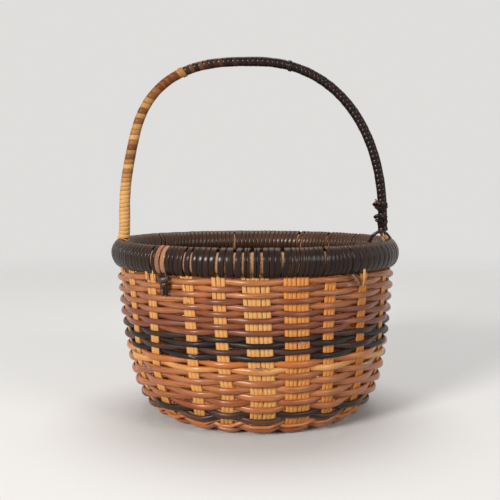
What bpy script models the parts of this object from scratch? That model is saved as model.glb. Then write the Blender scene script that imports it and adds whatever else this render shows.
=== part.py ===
"""Small round wicker basket with a fixed, wrapped bow handle.

Bundles of thin split strips cross in a square pad in the middle of the base, fan out and rise as
twenty-five staves. Because their number is odd, one weaver that passes in front of a stave and
behind the next comes out the other way on every round, so the wall is a single spiral of reeds
joined end to end. Two half-round hoops clamp the tops of the staves and the feet of the bow, and a
flat strip lashes them together, crossing the wall only where it is open. Two thin rods make the
bow, bound by a light and a dark winding.

Metres, +Z up. The origin is on the floor, under the middle of the rim. The front is -Y, and angles
are measured round from the front toward +X.
"""

import bisect
import math

import bmesh
import bpy
import numpy as np
from mathutils import Vector

MM = 0.001
UP = Vector((0.0, 0.0, 1.0))

# The bowl, measured on the middle of the wall's thickness
RIM_RADIUS = 52.7 * MM
RIM_HEIGHT = 62.6 * MM
BASE_RADIUS = 34.0 * MM
BASE_RISE = 1.4 * MM
BASE_LEAN = 1.0 * MM
CORNER_REACH = 13.5 * MM
CORNER_RISE = 18.0 * MM
WALL_FLARE = 3.0 * MM

# Staves: bundles of three split strips, two bundles side by side in the double ones
STRIP_WIDTH = 1.4 * MM
STRIPS_PER_BUNDLE = 3
STRIP_THICKNESS = 0.7 * MM
PIECE_GAP = 0.3 * MM
FRONT_ANGLES = (-76.0, -58.5, -43.4, -26.4, -13.9, -0.5, 14.6, 29.1, 46.0, 65.0, 81.0)
BACK_FIRST_ANGLE = 95.2
BACK_LAST_ANGLE = 262.0
BACK_STAVES = 14
FIRST_DOUBLE = 5
DOUBLE_STAVES = 2
SIDE_LANES = 6
FAN_RETREAT = 2.2 * MM
LEVEL_START_SHARE = 0.75
LEVEL_END_SHARE = 0.25
DRIFT_SHARE = 0.36

# Weavers. The first starts behind, each has a tail inside at both ends, and the base is cut flat
# where it would stand on round reeds
FIRST_STAVE = 14
BASE_REED = 2.0 * MM
BASE_PITCH = 2.3 * MM
FOOT_REED = 1.9 * MM
FOOT_PITCH = 2.6 * MM
LOWER_DARK_REED = 2.0 * MM
LOWER_DARK_PITCH = 2.8 * MM
LOWER_ORANGE_REED = 2.2 * MM
LOWER_ORANGE_PITCH = 2.53 * MM
HONEY_REED = 2.0 * MM
HONEY_PITCH = 2.3 * MM
UPPER_DARK_REED = 1.75 * MM
UPPER_DARK_PITCH = 2.1 * MM
UPPER_BROWN_REED = 1.9 * MM
UPPER_BROWN_PITCH = 2.1 * MM
START_TAIL = 2.1 * MM
END_TAIL = 1.0 * MM
FLAT_CUT_SHARE = 0.1

# Rim
HOOP_HEIGHT = 7.2 * MM
HOOP_THICKNESS = 1.9 * MM
HOOP_GAP = 1.4 * MM
LASHING_WIDTH = 2.6 * MM
LASHING_THICKNESS = 0.6 * MM

# Bow handle
BOW_HEIGHT = 63.1 * MM
BOW_INSET = 1.8 * MM
BOW_SHIFT = -0.6 * MM
BOW_START = 6.0 * MM
BOW_LEFT_POWER = 2.85
BOW_RIGHT_POWER = 2.22
ROD_SIZE = 1.2 * MM
TONGUE_WIDTH = 2.0 * MM
TONGUE_BLEND = 3.5 * MM
WINDING_THICKNESS = 0.35 * MM
WINDING_GAP = 0.7 * MM
WINDING_LOOPS = 24
JOINT_SHARE = 0.368

# How finely the round forms are cut
SECTION_STEPS = 48
FOOT_STEPS = 12
WALL_STATIONS = 8
HOOP_STEPS = 40
HOOP_SIDES = 5
ROD_SIDES = 6
ROD_STATIONS = 26
ROD_TURN_SHARE = 0.75
LASHING_POINTS = 8
WINDING_POINTS = 6

STAVE_WIDTH = STRIP_WIDTH * STRIPS_PER_BUNDLE
LANE_PITCH = STAVE_WIDTH + PIECE_GAP
STAVES = len(FRONT_ANGLES) + BACK_STAVES
FRONT_LANES = (STAVES + DOUBLE_STAVES - 2 * SIDE_LANES + 1) // 2
PAD_HALF_WIDTH = FRONT_LANES * LANE_PITCH / 2
PAD_HALF_DEPTH = SIDE_LANES * LANE_PITCH / 2
PAD_RADIUS = math.hypot(PAD_HALF_WIDTH, PAD_HALF_DEPTH) + PIECE_GAP
BOW_HALF_SPAN = RIM_RADIUS - BOW_INSET
RIM_HALF_HEIGHT = HOOP_HEIGHT / 2 + PIECE_GAP + LASHING_THICKNESS
RIM_CREST = RIM_HEIGHT + RIM_HALF_HEIGHT

STRAW = (0.62, 0.45, 0.24)
HONEY = (0.60, 0.33, 0.12)
RED_BROWN = (0.30, 0.11, 0.05)
ORANGE_BROWN = (0.40, 0.17, 0.06)
DARK_BROWN = (0.07, 0.03, 0.02)
NEAR_BLACK = (0.03, 0.02, 0.015)
TAN = (0.50, 0.32, 0.16)
REED_ROUGHNESS = 0.35
STRIP_ROUGHNESS = 0.45
VARNISHED_ROUGHNESS = 0.3

# Weavers in the order they are woven: rounds, reed size, rise along the wall a round, and colour
WEAVERS = (
    ("base_weaver", 3, BASE_REED, BASE_PITCH, ORANGE_BROWN),
    ("foot_weaver", 1, FOOT_REED, FOOT_PITCH, HONEY),
    ("lower_dark_weaver", 2, LOWER_DARK_REED, LOWER_DARK_PITCH, DARK_BROWN),
    ("lower_orange_weaver", 6, LOWER_ORANGE_REED, LOWER_ORANGE_PITCH, ORANGE_BROWN),
    ("honey_weaver", 2, HONEY_REED, HONEY_PITCH, HONEY),
    ("upper_dark_weaver", 4, UPPER_DARK_REED, UPPER_DARK_PITCH, NEAR_BLACK),
    ("upper_brown_weaver", 9, UPPER_BROWN_REED, UPPER_BROWN_PITCH, RED_BROWN),
)


def weave_offset(reed):
    """How far the middle of a reed lies from the middle of the stave that it passes."""
    return STRIP_THICKNESS / 2 + PIECE_GAP + reed / 2


BASE_HEIGHT = weave_offset(BASE_REED) + BASE_REED / 2 - FLAT_CUT_SHARE * BASE_REED


class Outline:
    """A line in a plane, walked by the length along it."""

    def __init__(self, points):
        self.points = [Vector(point) for point in points]
        self.lengths = [0.0]
        for before, after in zip(self.points, self.points[1:]):
            self.lengths.append(self.lengths[-1] + (after - before).length)
        last = len(self.points) - 1
        self.directions = []
        for index in range(last + 1):
            before = self.points[max(index - 1, 0)]
            after = self.points[min(index + 1, last)]
            self.directions.append((after - before).normalized())

    def at(self, length):
        """The point and the direction at this length. Past an end the line runs straight on."""
        index = bisect.bisect_right(self.lengths, length) - 1
        index = min(max(index, 0), len(self.points) - 2)
        span = self.lengths[index + 1] - self.lengths[index]
        share = (length - self.lengths[index]) / span
        point = self.points[index].lerp(self.points[index + 1], share)
        held = min(max(share, 0.0), 1.0)
        direction = self.directions[index].lerp(self.directions[index + 1], held)
        return point, direction.normalized()

    def length_at(self, axis, value):
        """The length at which the line first comes up to this value on one of its axes."""
        for index in range(len(self.points) - 1):
            here = self.points[index][axis]
            there = self.points[index + 1][axis]
            if here < value <= there:
                share = (value - here) / (there - here)
                span = self.lengths[index + 1] - self.lengths[index]
                return self.lengths[index] + share * span
        return self.lengths[-1]


def smooth(share):
    share = min(max(share, 0.0), 1.0)
    return share * share * (3 - 2 * share)


def bezier(corners, share):
    left = 1 - share
    weights = (left**3, 3 * left**2 * share, 3 * left * share**2, share**3)
    return tuple(
        sum(weight * corner[axis] for weight, corner in zip(weights, corners))
        for axis in range(2)
    )


def wall_outline():
    """Radius and height of the wall's middle surface, from the middle of the base to its top."""
    points = []
    for step in range(SECTION_STEPS):
        radius = BASE_RADIUS * step / SECTION_STEPS
        fall = smooth((radius - PAD_RADIUS) / (BASE_RADIUS - PAD_RADIUS))
        points.append((radius, BASE_HEIGHT + BASE_RISE * (1 - fall)))
    corners = (
        (BASE_RADIUS, BASE_HEIGHT),
        (BASE_RADIUS + CORNER_REACH, BASE_HEIGHT),
        (RIM_RADIUS - WALL_FLARE, BASE_HEIGHT + CORNER_RISE),
        (RIM_RADIUS, RIM_HEIGHT),
    )
    for step in range(SECTION_STEPS + 1):
        points.append(bezier(corners, step / SECTION_STEPS))
    return Outline(points)


WALL = wall_outline()
EDGE_LENGTH = WALL.length_at(0, BASE_RADIUS)
RIM_LENGTH = WALL.lengths[-1]
LAST_ROW = RIM_LENGTH - RIM_HALF_HEIGHT - PIECE_GAP - UPPER_BROWN_REED / 2


def frame_at(angle, length):
    """Where the wall's middle surface is, with its own directions round, up and out there."""
    (radius, height), (run, rise) = WALL.at(length)
    outward = Vector((math.sin(angle), -math.cos(angle), 0.0))
    across = Vector((math.cos(angle), math.sin(angle), 0.0))
    lean = BASE_LEAN * (1 - smooth(height / RIM_HEIGHT))
    centre = outward * radius + UP * height + Vector((lean, 0.0, 0.0))
    along = outward * run + UP * rise
    out = outward * rise - UP * run
    return centre, across, along, out


def rim_angles():
    """The angle at which each stave meets the rim."""
    angles = [math.radians(angle) for angle in FRONT_ANGLES]
    for index in range(BACK_STAVES):
        share = index / (BACK_STAVES - 1)
        angle = BACK_FIRST_ANGLE + share * (BACK_LAST_ANGLE - BACK_FIRST_ANGLE)
        angles.append(math.radians(angle))
    return angles


def bundles_in(stave):
    return 2 if FIRST_DOUBLE <= stave < FIRST_DOUBLE + DOUBLE_STAVES else 1


def sides_of(stave):
    return (-1, 1) if bundles_in(stave) == 2 else (0,)


def stave_half_width(stave):
    return (bundles_in(stave) * LANE_PITCH - PIECE_GAP) / 2


def edge_angles(at_rim):
    """The angle of each stave at the edge of the base, where the gaps between them are equal."""
    widths = [2 * stave_half_width(stave) for stave in range(STAVES)]
    gap = (2 * math.pi * BASE_RADIUS - sum(widths)) / STAVES
    places = []
    place = 0.0
    for width in widths:
        places.append((place + width / 2) / BASE_RADIUS)
        place += width + gap
    turn = sum(there - here for here, there in zip(places, at_rim)) / STAVES
    return [place + turn for place in places]


RIM_ANGLES = rim_angles()
EDGE_ANGLES = edge_angles(RIM_ANGLES)


def bundle_angle(stave, side, length):
    """The angle of a bundle on the wall. Its side is 0, or -1 or +1 for one of a double pair."""
    drift = smooth((length - EDGE_LENGTH) / (DRIFT_SHARE * (RIM_LENGTH - EDGE_LENGTH)))
    angle = EDGE_ANGLES[stave] + drift * (RIM_ANGLES[stave] - EDGE_ANGLES[stave])
    radius = WALL.at(length)[0][0]
    return angle + side * LANE_PITCH / 2 / radius


def on_base(angle, radius):
    return Vector((radius * math.sin(angle), -radius * math.cos(angle)))


def lane_start(kind, lane, facing):
    """Where a lane bends to leave the pad. The outer lanes bend first, so that they fan out clear."""
    lanes = FRONT_LANES if kind == "front" else SIDE_LANES
    reach = PAD_HALF_DEPTH if kind == "front" else PAD_HALF_WIDTH
    place = (lane - (lanes - 1) / 2) * LANE_PITCH
    outer = 2 * abs(place) / (lanes * LANE_PITCH)
    edge = facing * (reach - FAN_RETREAT * outer)
    return Vector((place, edge)) if kind == "front" else Vector((edge, place))


def lane_ends():
    """The lane of each bundle end: its kind, its number, the side of the pad that it leaves by,
    and where it bends. An end is its stave and its side of a double pair."""
    ends = [(stave, side) for stave in range(STAVES) for side in sides_of(stave)]
    left = SIDE_LANES // 2
    turned = ends[-left:] + ends[:-left]
    quarters = (
        [("side", lane, -1) for lane in reversed(range(SIDE_LANES))]
        + [("front", lane, -1) for lane in range(1, FRONT_LANES)]
        + [("side", lane, 1) for lane in range(SIDE_LANES)]
        + [("front", lane, 1) for lane in reversed(range(FRONT_LANES))]
    )
    return {end: (*quarter, lane_start(*quarter)) for end, quarter in zip(turned, quarters)}


LANES = lane_ends()


def stave_angle(stave, length):
    """The angle of a stave's middle, on the wall or on the base outside the pad."""
    if length >= EDGE_LENGTH:
        return bundle_angle(stave, 0, length)
    radius = WALL.at(length)[0][0]
    middle = Vector((0.0, 0.0))
    for side in sides_of(stave):
        start = LANES[stave, side][3]
        run = on_base(bundle_angle(stave, side, EDGE_LENGTH), BASE_RADIUS) - start
        reach = start.dot(run)
        root = math.sqrt(reach**2 - run.length_squared * (start.length_squared - radius**2))
        middle += start + run * (root - reach) / run.length_squared
    return math.atan2(middle.x, -middle.y)


def finish(name, mesh, colour, roughness):
    bmesh.ops.recalc_face_normals(mesh, faces=mesh.faces[:])
    data = bpy.data.meshes.new(name)
    mesh.to_mesh(data)
    mesh.free()
    data.shade_smooth()
    material = bpy.data.materials.new(name)
    material.use_nodes = True
    shader = material.node_tree.nodes["Principled BSDF"]
    shader.inputs["Base Color"].default_value = (*colour, 1.0)
    shader.inputs["Roughness"].default_value = roughness
    data.materials.append(material)
    obj = bpy.data.objects.new(name, data)
    bpy.context.scene.collection.objects.link(obj)
    return obj


def loft(sections, closed=False):
    """Skins a row of like sections, each a list of corners, into one closed body."""
    mesh = bmesh.new()
    rings = [[mesh.verts.new(corner) for corner in section] for section in sections]
    joined = rings[1:] + rings[:1] if closed else rings[1:]
    for ring, following in zip(rings, joined):
        for index in range(len(ring)):
            after = (index + 1) % len(ring)
            mesh.faces.new((ring[index], ring[after], following[after], following[index]))
    if not closed:
        mesh.faces.new(rings[0])
        mesh.faces.new(reversed(rings[-1]))
    return mesh


def print_least_gap(name, sections, loop_points):
    """Prints the least gap of a winding to itself, between points more than half a loop apart."""
    points = np.array([[tuple(corner) for corner in section] for section in sections])
    least = math.inf
    for index, section in enumerate(points):
        others = points[index + loop_points // 2 + 1 :].reshape(-1, 3)
        if len(others):
            spans = np.linalg.norm(others[:, None] - section[None], axis=2)
            least = min(least, spans.min())
    print(f"{name}: least gap to itself {least / MM:.2f} mm")


def flat_section(centre, side, out, half_width, half_thickness):
    return [
        centre + side * half_width * a + out * half_thickness * b
        for a, b in ((-1, -1), (1, -1), (1, 1), (-1, 1))
    ]


def wall_stations(stave, side):
    """Middles and out directions of a bundle from the top of the wall down to the base's edge."""
    top = RIM_LENGTH + HOOP_HEIGHT / 2 - PIECE_GAP
    stations = []
    for step in range(WALL_STATIONS + 1):
        share = step / WALL_STATIONS
        length = top + (EDGE_LENGTH - top) * math.sqrt(share)
        centre, _, _, out = frame_at(bundle_angle(stave, side, length), length)
        stations.append((centre, out))
    return stations


def base_stations(end, level):
    """Middles and out directions of a bundle from the base's edge in to the edge of the pad."""
    stave, side = end
    start = LANES[end][3]
    edge = on_base(bundle_angle(stave, side, EDGE_LENGTH), BASE_RADIUS)
    stations = []
    pad_height = WALL.at(0.0)[0][1]
    fan = BASE_RADIUS - PAD_RADIUS
    for fan_share, raised in ((LEVEL_START_SHARE, 0.0), (LEVEL_END_SHARE, level)):
        radius = PAD_RADIUS + fan * fan_share
        share = (radius - start.length) / (edge.length - start.length)
        stations.append((start.lerp(edge, share), WALL.at(radius)[0][1] + raised))
    stations.append((start, pad_height + level))
    lean = Vector((BASE_LEAN, 0.0, 0.0))
    return [(Vector((*flat, height)) + lean, -UP) for flat, height in stations]


def stave_mesh(stations):
    """A flat strip through these stations."""
    sections = []
    for index, (centre, out) in enumerate(stations):
        before = stations[max(index - 1, 0)][0]
        after = stations[min(index + 1, len(stations) - 1)][0]
        first = (centre - before).normalized() if index else Vector()
        second = (after - centre).normalized() if after != centre else Vector()
        side = (first + second).cross(out).normalized()
        sections.append(flat_section(centre, side, out, STAVE_WIDTH / 2, STRIP_THICKNESS / 2))
    return loft(sections)


def make_staves():
    """One strip bundle for each lane of the pad, from rim to rim, and a single one to make the
    number of staves odd."""
    level = (STRIP_THICKNESS + PIECE_GAP) / 2
    levels = {"front": level, "side": -level}
    for kind, count in (("front", FRONT_LANES), ("side", SIDE_LANES)):
        for lane in range(count):
            ends = [end for end, place in LANES.items() if place[:2] == (kind, lane)]
            ends.sort(key=lambda end: LANES[end][2])
            halves = []
            for end in ends:
                halves.append(wall_stations(*end) + base_stations(end, levels[kind]))
            if len(halves) == 2:
                stations = halves[0] + halves[1][::-1]
            else:
                last, out = halves[0][-1]
                tip = Vector((last.x, -last.y, last.z))
                stations = halves[0] + [(tip, out)]
            if kind == "front":
                name = f"stave_front_to_back_{lane + 1}"
            else:
                name = f"stave_side_to_side_{lane + 1}"
            finish(name, stave_mesh(stations), STRAW, STRIP_ROUGHNESS)


def crossing_count(rounds):
    """How often a weaver passes a stave: an even number, so that each one ends inside."""
    return 2 * round(rounds * STAVES / 2)


def reed_section(angle, length, offset, reed):
    centre, _, along, out = frame_at(angle, length)
    centre = centre + out * offset
    return [
        centre + out * reed / 2,
        centre + along * reed / 2,
        centre - out * reed / 2,
        centre - along * reed / 2,
    ]


def weaver_mesh(start, stave, count, reed, pitch):
    """One reed, in front of a stave and behind the next, with its two ends inside the basket. It
    starts at this length up the wall and at this stave."""
    sections = []
    for crossing in range(count):
        passed = (stave + crossing) % STAVES
        length = start + pitch * crossing / STAVES
        radius = WALL.at(length)[0][0]
        angle = stave_angle(passed, length)
        half = stave_half_width(passed) + PIECE_GAP
        inside = -weave_offset(reed)
        offset = inside
        if crossing % 2 == 0:
            offset = weave_offset(reed) + half**2 / (2 * radius)
        edges = [(angle - half / radius, offset), (angle + half / radius, offset)]
        if crossing == 0:
            edges.insert(0, (angle - (half + START_TAIL) / radius, inside))
        if crossing == count - 1:
            edges.append((angle + (half + END_TAIL) / radius, inside))
        for edge, offset in edges:
            sections.append(reed_section(edge, length, offset, reed))
    return loft(sections)


def cut_foot(mesh):
    """Cuts flat whatever is below the floor."""
    cut = bmesh.ops.bisect_plane(
        mesh,
        geom=mesh.verts[:] + mesh.edges[:] + mesh.faces[:],
        plane_co=(0.0, 0.0, 0.0),
        plane_no=(0.0, 0.0, -1.0),
        clear_outer=True,
    )
    edges = [item for item in cut["geom_cut"] if isinstance(item, bmesh.types.BMEdge)]
    bmesh.ops.edgenet_fill(mesh, edges=edges)


def make_weavers():
    """Each weaver goes on where the one before it ends, and the last row lies under the rim."""
    rises = [crossing_count(rounds) * pitch / STAVES for _, rounds, _, pitch, _ in WEAVERS]
    start = LAST_ROW - sum(rises)
    stave = FIRST_STAVE
    for (name, rounds, reed, pitch, colour), rise in zip(WEAVERS, rises):
        count = crossing_count(rounds)
        mesh = weaver_mesh(start, stave, count, reed, pitch)
        cut_foot(mesh)
        finish(name, mesh, colour, REED_ROUGHNESS)
        start += rise
        stave += count


def rim_point(angle, out_offset, along_offset):
    centre, _, along, out = frame_at(angle, RIM_LENGTH)
    return centre + out * out_offset + along * along_offset


def make_hoop(name, facing):
    sections = []
    for step in range(HOOP_STEPS):
        angle = 2 * math.pi * step / HOOP_STEPS
        section = []
        for corner in range(HOOP_SIDES):
            turn = math.pi * (corner / (HOOP_SIDES - 1) - 1 / 2)
            out_offset = facing * (HOOP_GAP / 2 + HOOP_THICKNESS * math.cos(turn))
            section.append(rim_point(angle, out_offset, HOOP_HEIGHT / 2 * math.sin(turn)))
        sections.append(section)
    finish(name, loft(sections, closed=True), TAN, STRIP_ROUGHNESS)


def make_rim():
    make_hoop("outer_hoop", 1)
    make_hoop("inner_hoop", -1)


def gap_middles():
    """The angle of the middle of each gap between staves, at the rim."""
    middles = []
    for stave in range(STAVES):
        following = (stave + 1) % STAVES
        left = RIM_ANGLES[stave] + stave_half_width(stave) / RIM_RADIUS
        right = RIM_ANGLES[following] - stave_half_width(following) / RIM_RADIUS
        if following == 0:
            right += 2 * math.pi
        middles.append((left + right) / 2)
    return middles


def make_lashing():
    """A flat strip round both hoops, once for each gap between two staves."""
    middles = gap_middles()
    stretch = 1 / math.cos(math.pi / LASHING_POINTS)
    inner_out = (HOOP_GAP / 2 + HOOP_THICKNESS + PIECE_GAP) * stretch
    inner_along = (HOOP_HEIGHT / 2 + PIECE_GAP) * stretch
    thickness = LASHING_THICKNESS * stretch
    half = LASHING_WIDTH / 2 / RIM_RADIUS
    sections = []
    for loop in range(STAVES - 1):
        for point in range(LASHING_POINTS):
            share = (point + 1 / 2) / LASHING_POINTS
            angle = middles[loop] + share * (middles[loop + 1] - middles[loop])
            turn = 2 * math.pi * share - math.pi / 2
            section = []
            for side, thick in ((-half, 0.0), (half, 0.0), (half, thickness), (-half, thickness)):
                out_offset = (inner_out + thick) * math.cos(turn)
                along_offset = (inner_along + thick) * math.sin(turn)
                section.append(rim_point(angle + side, out_offset, along_offset))
            sections.append(section)
    print_least_gap("rim_lashing", sections, LASHING_POINTS)
    finish("rim_lashing", loft(sections), DARK_BROWN, VARNISHED_ROUGHNESS)


def bow_foot(facing):
    """The middle line of one foot of the bow, from its tongue between the hoops up to where the
    arch starts, a little nearer to the middle than the hoops."""
    (radius, height), (run, rise) = WALL.at(RIM_LENGTH)
    middle = Vector((facing * radius, height))
    up = Vector((facing * run, rise))
    low = middle - up * (HOOP_HEIGHT / 2 - PIECE_GAP)
    high = middle + up * HOOP_HEIGHT / 2
    arch = Vector((BOW_SHIFT + facing * BOW_HALF_SPAN, RIM_CREST + BOW_START))
    reach = (arch.y - high.y) / 2
    corners = (high, high + up * reach, arch - Vector((0.0, reach)), arch)
    return [low] + [bezier(corners, step / FOOT_STEPS) for step in range(FOOT_STEPS)]


def bow_outline():
    """The middle line of the bow in the plane y = 0, from its left tongue to its right one."""
    points = bow_foot(-1)
    start = RIM_CREST + BOW_START
    for step in range(4 * SECTION_STEPS + 1):
        turn = math.pi * (1 - step / (4 * SECTION_STEPS))
        power = BOW_LEFT_POWER if turn > math.pi / 2 else BOW_RIGHT_POWER
        level = abs(math.cos(turn)) ** (2 / power)
        x = BOW_SHIFT + math.copysign(BOW_HALF_SPAN * level, math.cos(turn))
        z = start + BOW_HEIGHT * abs(math.sin(turn)) ** (2 / power)
        points.append((x, z))
    return Outline(points + bow_foot(1)[::-1])


BOW = bow_outline()


def bow_point(length, in_plane, front):
    """A point beside the bow's middle line: so far outside it, and so far to the front."""
    (x, z), (run, rise) = BOW.at(length)
    return Vector((x - rise * in_plane, -front, z + run * in_plane))


def rod_lengths():
    """Lengths along the bow for a rod's sections, closer together where it bends more."""
    measure = [0.0]
    whole = BOW.lengths[-1]
    turning = [
        before.angle(after) for before, after in zip(BOW.directions, BOW.directions[1:])
    ]
    for index, turn in enumerate(turning):
        span = BOW.lengths[index + 1] - BOW.lengths[index]
        step = (1 - ROD_TURN_SHARE) * span / whole + ROD_TURN_SHARE * turn / sum(turning)
        measure.append(measure[-1] + step)
    lengths = []
    for station in range(ROD_STATIONS + 1):
        wanted = measure[-1] * station / ROD_STATIONS
        index = min(bisect.bisect_right(measure, wanted), len(measure) - 1) - 1
        share = (wanted - measure[index]) / (measure[index + 1] - measure[index])
        span = BOW.lengths[index + 1] - BOW.lengths[index]
        lengths.append(BOW.lengths[index] + min(share, 1.0) * span)
    return lengths


def make_rods():
    """Two rods, one outside the other, whose ends are pared to tongues that lie side by side
    between the hoops."""
    whole = BOW.lengths[-1]
    for name, facing in (("outer_bow_rod", 1), ("inner_bow_rod", -1)):
        sections = []
        for length in rod_lengths():
            foot = min(length, whole - length)
            full = smooth((foot - HOOP_HEIGHT) / TONGUE_BLEND)
            beside = facing * (ROD_SIZE + PIECE_GAP) / 2 * full
            front = facing * (TONGUE_WIDTH + PIECE_GAP) / 2 * (1 - full)
            half_thick = (STRIP_THICKNESS + (ROD_SIZE - STRIP_THICKNESS) * full) / 2
            half_wide = (TONGUE_WIDTH + (ROD_SIZE - TONGUE_WIDTH) * full) / 2
            section = []
            for corner in range(ROD_SIDES):
                turn = 2 * math.pi * corner / ROD_SIDES
                in_plane = beside + half_thick * math.cos(turn)
                section.append(bow_point(length, in_plane, front + half_wide * math.sin(turn)))
            sections.append(section)
        finish(name, loft(sections), TAN, STRIP_ROUGHNESS)


def make_winding(name, start, end, colour):
    """A flat strip wound round both rods of the bow."""
    pitch = (end - start) / WINDING_LOOPS
    half_width = (pitch - WINDING_GAP) / 2
    beside = ROD_SIZE + PIECE_GAP / 2 + PIECE_GAP
    front = ROD_SIZE / 2 + PIECE_GAP
    stretch = 1 / math.cos(math.pi / WINDING_POINTS)
    sections = []
    for point in range(WINDING_LOOPS * WINDING_POINTS + 1):
        turns = point / WINDING_POINTS
        turn = 2 * math.pi * (turns + 1 / (2 * WINDING_POINTS))
        length = start + half_width + (end - start - 2 * half_width) * turns / WINDING_LOOPS
        section = []
        for side, thick in ((-1, 0), (1, 0), (1, 1), (-1, 1)):
            grown = thick * WINDING_THICKNESS
            in_plane = (beside + grown) * stretch * math.cos(turn)
            forward = (front * stretch + grown) * stretch * math.sin(turn)
            section.append(bow_point(length + side * half_width, in_plane, forward))
        sections.append(section)
    print_least_gap(name, sections, WINDING_POINTS)
    finish(name, loft(sections), colour, VARNISHED_ROUGHNESS)


def make_bow():
    make_rods()
    whole = BOW.lengths[-1]
    start = HOOP_HEIGHT + TONGUE_BLEND
    joint = start + JOINT_SHARE * (whole - 2 * start)
    make_winding("light_bow_winding", start, joint - WINDING_GAP / 2, HONEY)
    make_winding("dark_bow_winding", joint + WINDING_GAP / 2, whole - start, NEAR_BLACK)


def main():
    for obj in list(bpy.data.objects):
        bpy.data.objects.remove(obj)
    make_staves()
    make_weavers()
    make_rim()
    make_lashing()
    make_bow()


main()
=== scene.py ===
"""Looks of the small round wicker basket with a fixed, wrapped bow handle.

Each woven, lashed or wound piece of the frame is replaced by a finer one, made of swept strands
that follow the same wall and the same bow. The wall, the staves, the rim and the bow lie where the
frame has them. What differs a little is read from the photo: the leans of the front staves, the
thickness and the rise of the reeds, the height of the lashing, the left leg of the bow, which is
drawn in, and its feet, which stand straighter. Every strand also carries its straightened place,
which the grain in the materials runs along, and two shades.

Metres, +Z up. The front is -Y, and angles are measured round from the front toward +X.
"""

import math

import bpy
import numpy as np
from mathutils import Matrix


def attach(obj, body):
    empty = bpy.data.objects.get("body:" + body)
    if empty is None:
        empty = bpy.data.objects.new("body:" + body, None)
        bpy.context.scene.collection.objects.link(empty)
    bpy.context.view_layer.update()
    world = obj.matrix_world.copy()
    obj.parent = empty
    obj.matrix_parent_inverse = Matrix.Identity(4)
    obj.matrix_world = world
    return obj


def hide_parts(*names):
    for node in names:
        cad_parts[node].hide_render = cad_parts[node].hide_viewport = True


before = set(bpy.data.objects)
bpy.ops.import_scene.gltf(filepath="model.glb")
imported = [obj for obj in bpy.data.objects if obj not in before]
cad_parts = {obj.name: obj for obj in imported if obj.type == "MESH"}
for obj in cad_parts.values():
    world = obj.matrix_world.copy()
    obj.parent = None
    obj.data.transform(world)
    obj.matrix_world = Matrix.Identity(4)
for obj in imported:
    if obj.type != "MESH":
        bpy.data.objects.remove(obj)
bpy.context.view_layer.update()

MM = 0.001
SEED = 11

# The bowl, measured on the middle of the wall's thickness
RIM_RADIUS = 52.7 * MM
RIM_HEIGHT = 62.6 * MM
BASE_RADIUS = 34.0 * MM
BASE_RISE = 1.4 * MM
BASE_LEAN = 1.0 * MM
CORNER_REACH = 13.5 * MM
CORNER_RISE = 18.0 * MM
WALL_FLARE = 3.0 * MM

# Staves: bundles of three split strips, two bundles side by side in the double ones
STRIP_WIDTH = 1.4 * MM
STRIPS_PER_BUNDLE = 3
STRIP_THICKNESS = 0.7 * MM
SEEN_THICKNESS = 0.5 * MM
PIECE_GAP = 0.3 * MM
FRONT_ANGLES = (-76.0, -58.5, -43.4, -26.4, -13.9, -0.5, 14.6, 29.1, 46.0, 65.0, 81.0)
BACK_FIRST_ANGLE = 95.2
BACK_LAST_ANGLE = 262.0
BACK_STAVES = 14
FIRST_DOUBLE = 5
DOUBLE_STAVES = 2
SIDE_LANES = 6
FAN_RETREAT = 2.2 * MM
DRIFT_SHARE = 0.36
# How far round the front staves lean from that, in degrees, low on the wall and at two heights
LEAN_SHARES = (0.1, 0.38, 0.62, 1.0)
FRONT_LEANS = (
    (0.0, 0.0, 0.0),
    (-4.0, -5.0, -1.4),
    (-1.0, -4.6, -1.7),
    (4.0, -0.6, 0.4),
    (4.0, 0.8, 0.3),
    (4.5, 2.2, 1.3),
    (2.0, 1.7, 1.0),
    (1.0, 1.2, -0.3),
    (2.5, 3.0, 0.0),
    (4.0, 5.0, 0.0),
    (0.0, 0.0, 0.0),
)
STRIP_SPACING = 1.41 * MM
STRIP_WANDER = 0.08 * MM
STRIP_SPLAY = 0.35 * MM
SPLAY_LENGTH = 22.0 * MM
STRIP_KNOTS = 9.0
STRIP_FULLNESS = 1.01
STRIP_SWELL = 0.025
STRIP_TONE = 0.7
STRIP_TONE_CHANGE = 0.3
# How far toward the deeper straw the front staves are, from left to right, and the others' range
FRONT_SHADES = (0.1, 0.15, 0.1, 0.3, 0.35, 0.0, 0.8, 0.9, 0.9, 0.4, 0.3)
BACK_SHADES = (0.15, 0.6)

# Weavers. The rounds that the base has nearer its middle are only in the looks
FIRST_STAVE = 14
BASE_REED = 2.0 * MM
TOP_REED = 1.9 * MM
FLAT_CUT_SHARE = 0.1
INNER_ROUNDS = 3
REED_WANDER = 0.17 * MM
FLAT_SHARE = 0.6
REED_DEEP = 1.65 * MM
BASE_REED_DEEP = 2.05 * MM
ROW_PRESS = 0.08 * MM
# How much darker a reed is painted where it goes in behind the staves: painted shade
PAINTED_INSIDE_SHADE = 0.15
FOOT_REED = 1.25 * MM
TWIST_RISE = 0.9 * MM
FOOT_DIP = 0.8 * MM
TAIL_IN = 0.62
TAIL_OUT = 0.3
TIP_SHARE = 0.55
REED_FULLNESS = 0.99
REED_SWELL = 0.07
REED_SWELL_SPACING = 2.0
REED_TONE = 0.7
REED_TONE_SPACING = 3.0
REED_TONE_CHANGE = 0.8
# Where a reed was bent in weaving: the passing, and how far it rises past it
BENDS = ((468.72, 1.25 * MM), (443.8, 0.5 * MM), (421.3, -0.45 * MM), (541.6, 0.4 * MM))
BEND_WIDTH = 0.3

# Rim
HOOP_HEIGHT = 7.2 * MM
HOOP_THICKNESS = 1.9 * MM
HOOP_GAP = 1.4 * MM
HOOP_KNOTS = 20.0
HOOP_SHADE = 0.5
LASHING_THICKNESS = 0.6 * MM
LASHING_GROWTH = 0.9 * MM
TURN_WIDTH = 2.08 * MM
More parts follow.
